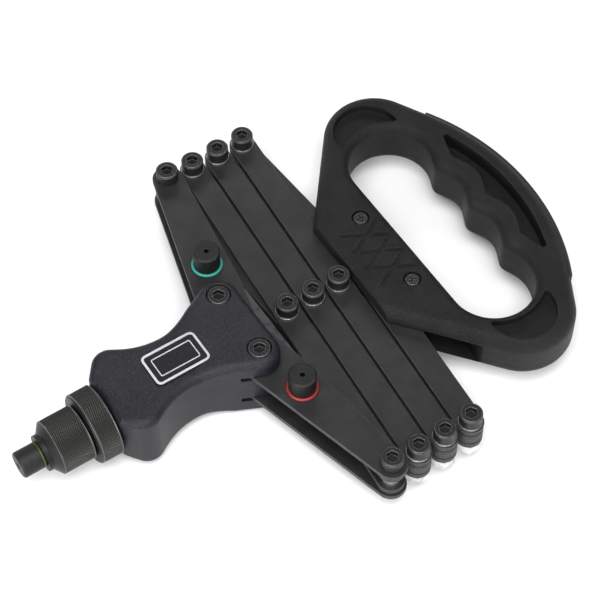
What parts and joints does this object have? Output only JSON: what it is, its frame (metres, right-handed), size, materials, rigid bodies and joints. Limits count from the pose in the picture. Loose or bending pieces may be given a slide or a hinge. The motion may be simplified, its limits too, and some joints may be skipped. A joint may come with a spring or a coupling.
{
  "type": "lazy-tong hand riveter",
  "caption": "Hand riveter with a folding scissor lattice between a cast nose head and a D-shaped grip; the lattice draws the jaws back to set blind rivets.",
  "frame": {"origin": "mouth of the mandrel bore at the nosepiece tip, on the tool's centreline", "axes": "+X from the nose back to the grip, +Y towards the upper lever when the tool lies flat, +Z out of the badge face"},
  "size_m": [0.2625, 0.192, 0.0382],
  "materials": {
    "casting_coat": "satin black powder coat",
    "bar_steel": "satin black oxide",
    "screw_steel": "black oxide, worn rims",
    "zinc": "bright zinc plate",
    "bright_steel": "turned and oiled",
    "spring_steel": "drawn wire",
    "phosphate_steel": "dark grey phosphate",
    "nosepiece_steel": "dark grey phosphate, fine texture",
    "bush_bronze": "sintered bronze",
    "upper_ring": "coloured rubber",
    "lower_ring": "coloured rubber",
    "fitted_ring": "coloured rubber",
    "handle_nylon": "textured moulded nylon",
    "strip_rubber": "soft black rubber",
    "badge_black": "gloss black",
    "badge_silver": "bright raised border"
  },
  "bodies": {
    "head": {"head_casting": "casting_coat", "nose_barrel": "bright_steel", "drawbar_bush": "bush_bronze", "rear_bridge": "bright_steel", "badge_plate": "badge_black", "badge_frame": "badge_silver", "lever_pivot_screws": "screw_steel", "lever_pivot_nuts": "zinc"},
    "nose_sleeve": {"nose_sleeve": "phosphate_steel", "fitted_nosepiece": "nosepiece_steel", "fitted_ring": "fitted_ring"},
    "lock_ring": {"lock_ring": "phosphate_steel"},
    "drawbar": {"drawbar": "bright_steel", "jaw_case": "bright_steel", "jaws": "bright_steel", "jaw_pusher": "bright_steel", "jaw_spring": "spring_steel"},
    "handle": {"handle_upper_half": "handle_nylon", "handle_lower_half": "handle_nylon", "handle_screws": "screw_steel", "handle_nuts": "zinc", "handle_pivot_pin": "bright_steel", "handle_pivot_washers": "zinc", "palm_strip": "strip_rubber"},
    "upper_lever": {"upper_lever_top_plate": "bar_steel", "upper_lever_bottom_plate": "bar_steel", "upper_lever_pin": "bright_steel", "upper_lever_end_screw": "screw_steel", "upper_lever_sleeves": "zinc", "upper_spare_nosepiece": "nosepiece_steel", "upper_spare_ring": "upper_ring"},
    "lower_lever": {"lower_lever_top_plate": "bar_steel", "lower_lever_bottom_plate": "bar_steel", "lower_lever_pin": "bright_steel", "lower_lever_end_screw": "screw_steel", "lower_lever_sleeves": "zinc", "lower_spare_nosepiece": "nosepiece_steel", "lower_spare_ring": "lower_ring"},
    "inner_1": {"inner_bars_1": "bar_steel", "screws_1": "screw_steel", "washers_1": "zinc", "nuts_1": "zinc"},
    "outer_1": {"outer_bars_1": "bar_steel"},
    "inner_2": {"inner_bars_2": "bar_steel", "screws_2": "screw_steel", "washers_2": "zinc", "nuts_2": "zinc"},
    "outer_2": {"outer_bars_2": "bar_steel"},
    "inner_3": {"inner_bars_3": "bar_steel", "screws_3": "screw_steel", "washers_3": "zinc", "nuts_3": "zinc"},
    "outer_3": {"outer_bars_3": "bar_steel"},
    "inner_4": {"inner_bars_4": "bar_steel", "screws_4": "screw_steel", "washers_4": "zinc", "nuts_4": "zinc"},
    "outer_4": {"outer_bars_4": "bar_steel"}
  },
  "joints": [
    {"name": "tong_fold", "type": "hinge", "parent": "head", "child": "upper_lever", "pos_m": [0.1096, 0.0163, 0], "axis": [0, 0, -1], "range_deg": [0, 50]},
    {"name": "upper_end_pivot", "type": "hinge", "parent": "upper_lever", "child": "inner_1", "pos_m": [0.1276, 0.08925, 0], "axis": [0, 0, 1], "range_deg": [0, 102.22]},
    {"name": "cross_1", "type": "hinge", "parent": "inner_1", "child": "outer_1", "pos_m": [0.1343, 0, 0], "axis": [0, 0, -1], "range_deg": [0, 104.42]},
    {"name": "upper_row_2", "type": "hinge", "parent": "outer_1", "child": "inner_2", "pos_m": [0.141, 0.08925, 0], "axis": [0, 0, 1], "range_deg": [0, 104.42]},
    {"name": "cross_2", "type": "hinge", "parent": "inner_2", "child": "outer_2", "pos_m": [0.1477, 0, 0], "axis": [0, 0, -1], "range_deg": [0, 104.42]},
    {"name": "upper_row_3", "type": "hinge", "parent": "outer_2", "child": "inner_3", "pos_m": [0.1544, 0.08925, 0], "axis": [0, 0, 1], "range_deg": [0, 104.42]},
    {"name": "cross_3", "type": "hinge", "parent": "inner_3", "child": "outer_3", "pos_m": [0.1611, 0, 0], "axis": [0, 0, -1], "range_deg": [0, 104.42]},
    {"name": "upper_row_4", "type": "hinge", "parent": "outer_3", "child": "inner_4", "pos_m": [0.1678, 0.08925, 0], "axis": [0, 0, 1], "range_deg": [0, 104.42]},
    {"name": "handle_pivot", "type": "hinge", "parent": "inner_4", "child": "handle", "pos_m": [0.1745, 0, 0], "axis": [0, 0, -1], "range_deg": [0, 52.22]},
    {"name": "lower_row_4", "type": "hinge", "parent": "inner_3", "child": "outer_4", "pos_m": [0.1678, -0.08925, 0], "axis": [0, 0, -1], "range_deg": [0, 104.42]},
    {"name": "lower_end_pivot", "type": "hinge", "parent": "outer_1", "child": "lower_lever", "pos_m": [0.1276, -0.08925, 0], "axis": [0, 0, 1], "range_deg": [0, 102.22]},
    {"name": "drawbar_slide", "type": "slide", "parent": "head", "child": "drawbar", "axis": [-1, 0, 0], "range_m": [0, 0.0105]},
    {"name": "nose_sleeve_turn", "type": "hinge", "parent": "head", "child": "nose_sleeve", "pos_m": [0.025, 0, 0], "axis": [1, 0, 0], "continuous": true},
    {"name": "lock_ring_turn", "type": "hinge", "parent": "head", "child": "lock_ring", "pos_m": [0.036, 0, 0], "axis": [1, 0, 0], "continuous": true}
  ],
  "couplings": [
    {"joint": "upper_end_pivot", "follows": "tong_fold", "ratio": 2.0441},
    {"joint": "cross_1", "follows": "tong_fold", "ratio": 2.0882},
    {"joint": "upper_row_2", "follows": "tong_fold", "ratio": 2.0882},
    {"joint": "cross_2", "follows": "tong_fold", "ratio": 2.0882},
    {"joint": "upper_row_3", "follows": "tong_fold", "ratio": 2.0882},
    {"joint": "cross_3", "follows": "tong_fold", "ratio": 2.0882},
    {"joint": "upper_row_4", "follows": "tong_fold", "ratio": 2.0882},
    {"joint": "handle_pivot", "follows": "tong_fold", "ratio": 1.0441},
    {"joint": "lower_row_4", "follows": "tong_fold", "ratio": 2.0882},
    {"joint": "lower_end_pivot", "follows": "tong_fold", "ratio": 2.0441},
    {"joint": "drawbar_slide", "follows": "tong_fold", "m_per_rad": 0.011913}
  ]
}
